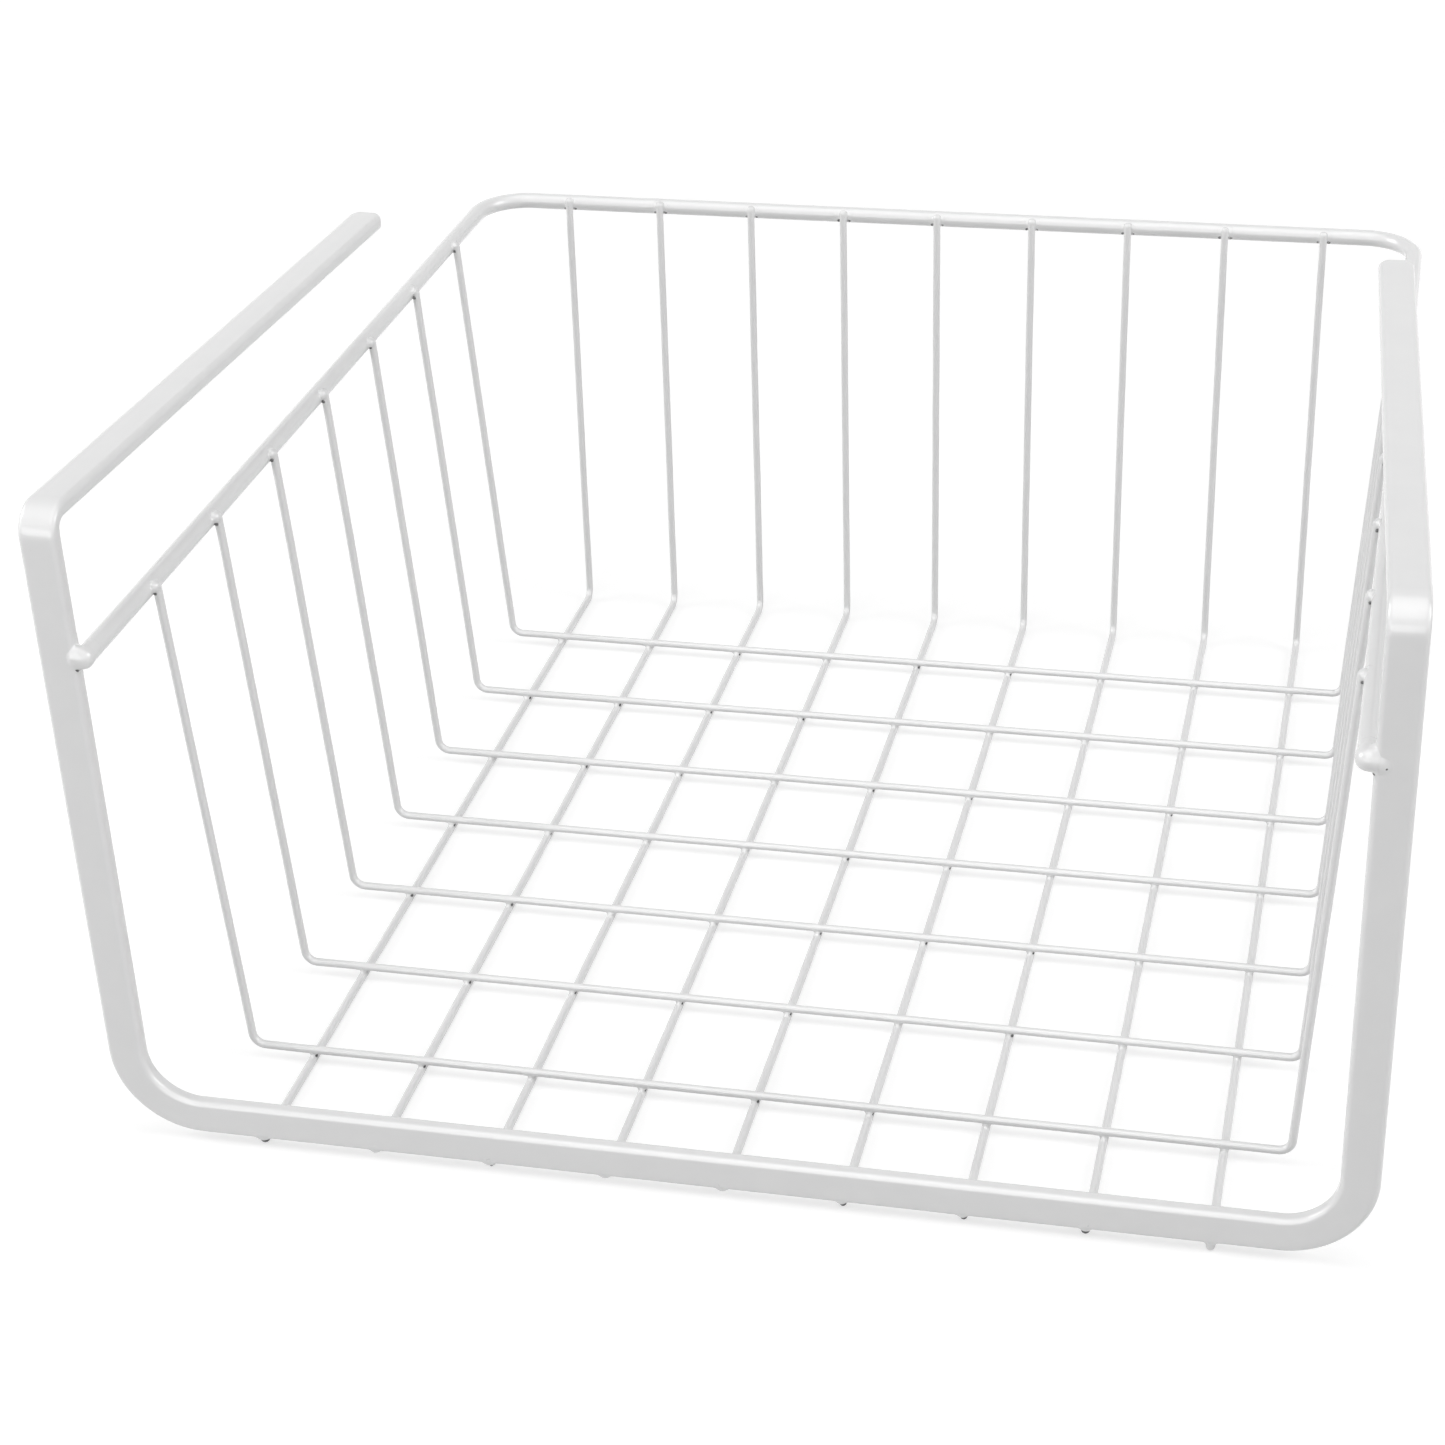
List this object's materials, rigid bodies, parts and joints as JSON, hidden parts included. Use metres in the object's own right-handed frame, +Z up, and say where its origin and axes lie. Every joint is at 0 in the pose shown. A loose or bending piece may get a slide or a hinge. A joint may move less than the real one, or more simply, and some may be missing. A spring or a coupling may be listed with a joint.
{
  "type": "under shelf basket",
  "caption": "Open-fronted welded wire basket whose flat-bar hanger arms slide over a shelf board, so that it hangs below the board.",
  "frame": {"origin": "middle of the footprint, on the level that the long wires stand on", "axes": "+Z up, +X to the right seen from the open front, -Y towards the open front, +Y towards the back wall"},
  "size_m": [0.317, 0.3269, 0.1759],
  "materials": {
    "white_coat": "white semi-gloss powder coat on steel"
  },
  "bodies": {
    "root": {"hanger_frame": "white_coat", "rim_rod": "white_coat", "cross_wire_1": "white_coat", "cross_wire_2": "white_coat", "cross_wire_3": "white_coat", "cross_wire_4": "white_coat", "cross_wire_5": "white_coat", "cross_wire_6": "white_coat", "cross_wire_7": "white_coat", "long_wire_1": "white_coat", "long_wire_2": "white_coat", "long_wire_3": "white_coat", "long_wire_4": "white_coat", "long_wire_5": "white_coat", "long_wire_6": "white_coat", "long_wire_7": "white_coat", "long_wire_8": "white_coat", "long_wire_9": "white_coat"}
  },
  "joints": []
}
